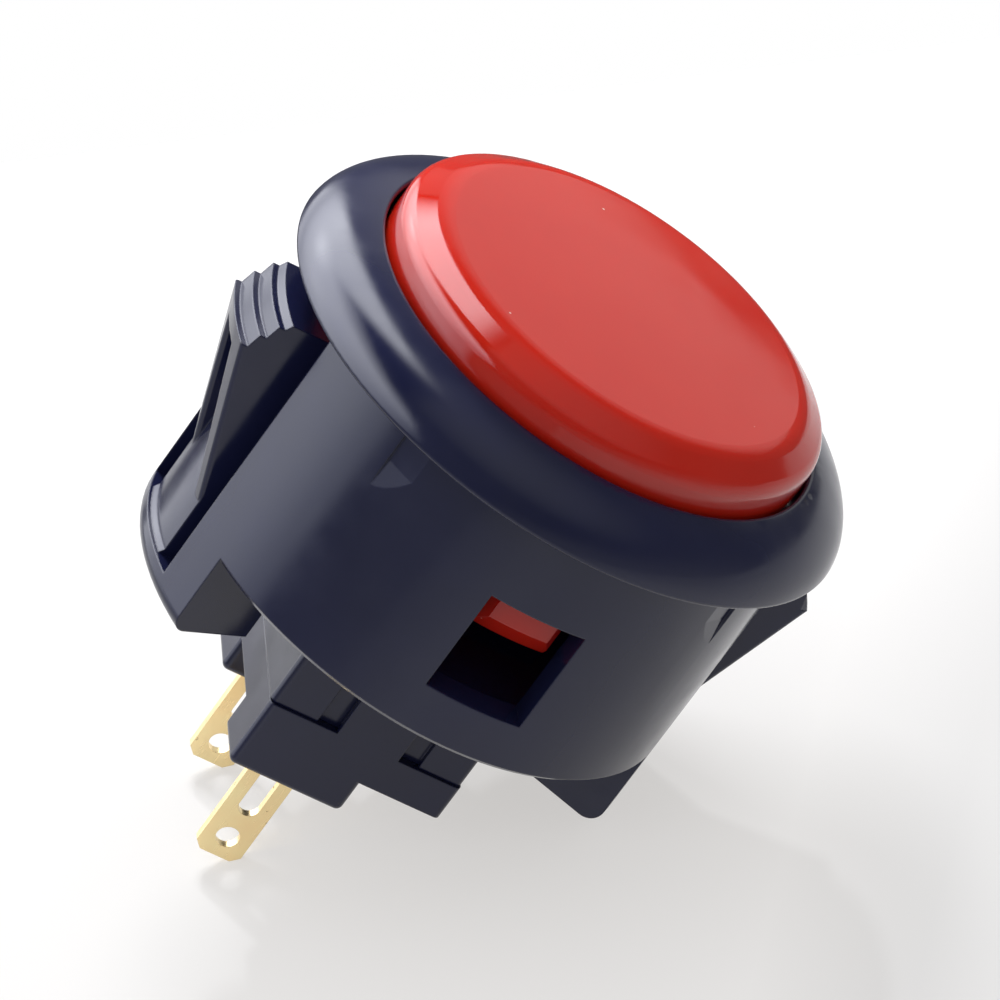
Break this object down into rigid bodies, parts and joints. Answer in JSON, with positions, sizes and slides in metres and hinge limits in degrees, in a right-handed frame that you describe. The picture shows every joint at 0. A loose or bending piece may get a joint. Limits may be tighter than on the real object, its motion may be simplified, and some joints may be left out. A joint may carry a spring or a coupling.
{
  "type": "arcade push button",
  "caption": "Snap-in arcade push button: round rim and red sprung plunger over a barrel with toothed snap arms, with a built-in switch and flat solder tabs underneath.",
  "frame": {"origin": "on the plunger's axis, in the plane of the rim's underside that rests on the panel", "axes": "+Z along the plunger's axis, out of the panel towards the finger; +X from the terminal side through one snap arm; +Y to the rear terminal"},
  "size_m": [0.035, 0.033, 0.0381],
  "materials": {
    "housing_plastic": "satin dark navy-grey moulding",
    "plunger_plastic": "polished red moulding",
    "switch_plastic": "satin dark navy-grey moulding",
    "actuator_plastic": "plain pale moulding, hidden",
    "gold_plate": "pale gold plating with small dull spots",
    "spring_steel": "bright drawn wire, hidden",
    "contact_silver": "bright silver contact faces, hidden"
  },
  "bodies": {
    "body": {"housing": "housing_plastic", "switch_case": "switch_plastic", "switch_base": "switch_plastic", "terminal_front": "gold_plate", "terminal_rear": "gold_plate", "fixed_contact_front": "contact_silver", "fixed_contact_rear": "contact_silver", "return_spring": "spring_steel"},
    "cap": {"plunger": "plunger_plastic"},
    "push_rod": {"actuator": "actuator_plastic", "contact_spring": "spring_steel"},
    "bridge": {"contact_bridge": "gold_plate", "moving_contact_front": "contact_silver", "moving_contact_rear": "contact_silver"}
  },
  "joints": [
    {"name": "plunger_press", "type": "slide", "parent": "body", "child": "cap", "axis": [0, 0, -1], "range_m": [0, 0.0022], "stiffness_N_per_m": 230, "springref_m": -0.0018},
    {"name": "actuator_slide", "type": "slide", "parent": "body", "child": "push_rod", "axis": [0, 0, -1], "range_m": [0, 0.0022], "deforming": ["return_spring", "contact_spring"]},
    {"name": "bridge_slide", "type": "slide", "parent": "body", "child": "bridge", "axis": [0, 0, -1], "range_m": [0, 0.00075]}
  ],
  "couplings": [
    {"joint": "actuator_slide", "follows": "plunger_press", "ratio": 1},
    {"joint": "bridge_slide", "follows": "plunger_press", "ratio": 0.34}
  ]
}
